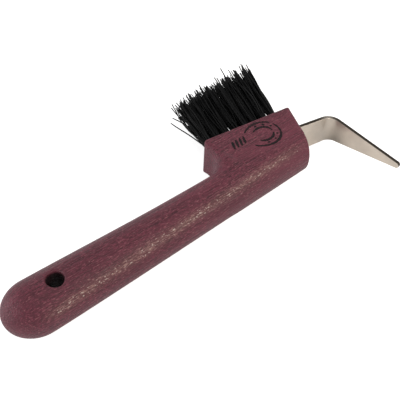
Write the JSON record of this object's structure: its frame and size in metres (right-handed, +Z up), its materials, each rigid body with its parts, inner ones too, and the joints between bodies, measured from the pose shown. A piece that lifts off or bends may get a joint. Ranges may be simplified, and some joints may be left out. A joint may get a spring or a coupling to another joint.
{
  "type": "hoof pick",
  "caption": "Hoof pick with a stained wooden handle, a bent and tapered flat steel pick in the end of its block, and a stiff black brush along the block's side.",
  "frame": {"origin": "on the surface the hoof pick lies on, below the middle of its whole outline", "axes": "+X from the round end of the handle towards the pick, +Y the way the bristles point, +Z up through the handle's thickness"},
  "size_m": [0.215, 0.1034, 0.0245],
  "materials": {
    "stained_wood": "burgundy stain, matt, with open grain along the handle",
    "pick_steel": "plated steel, satin on the faces and darker on the cut edges",
    "bristle": "black synthetic bristle with a slight gloss",
    "anchor_wire": "bright flat wire"
  },
  "bodies": {
    "root": {"body": "stained_wood", "pick_blade": "pick_steel", "tuft_upper_1": "bristle", "anchor_upper_1": "anchor_wire", "tuft_upper_2": "bristle", "anchor_upper_2": "anchor_wire", "tuft_upper_3": "bristle", "anchor_upper_3": "anchor_wire", "tuft_upper_4": "bristle", "anchor_upper_4": "anchor_wire", "tuft_upper_5": "bristle", "anchor_upper_5": "anchor_wire", "tuft_upper_6": "bristle", "anchor_upper_6": "anchor_wire", "tuft_upper_7": "bristle", "anchor_upper_7": "anchor_wire", "tuft_upper_8": "bristle", "anchor_upper_8": "anchor_wire", "tuft_lower_1": "bristle", "anchor_lower_1": "anchor_wire", "tuft_lower_2": "bristle", "anchor_lower_2": "anchor_wire", "tuft_lower_3": "bristle", "anchor_lower_3": "anchor_wire", "tuft_lower_4": "bristle", "anchor_lower_4": "anchor_wire", "tuft_lower_5": "bristle", "anchor_lower_5": "anchor_wire", "tuft_lower_6": "bristle", "anchor_lower_6": "anchor_wire", "tuft_lower_7": "bristle", "anchor_lower_7": "anchor_wire"}
  },
  "joints": []
}
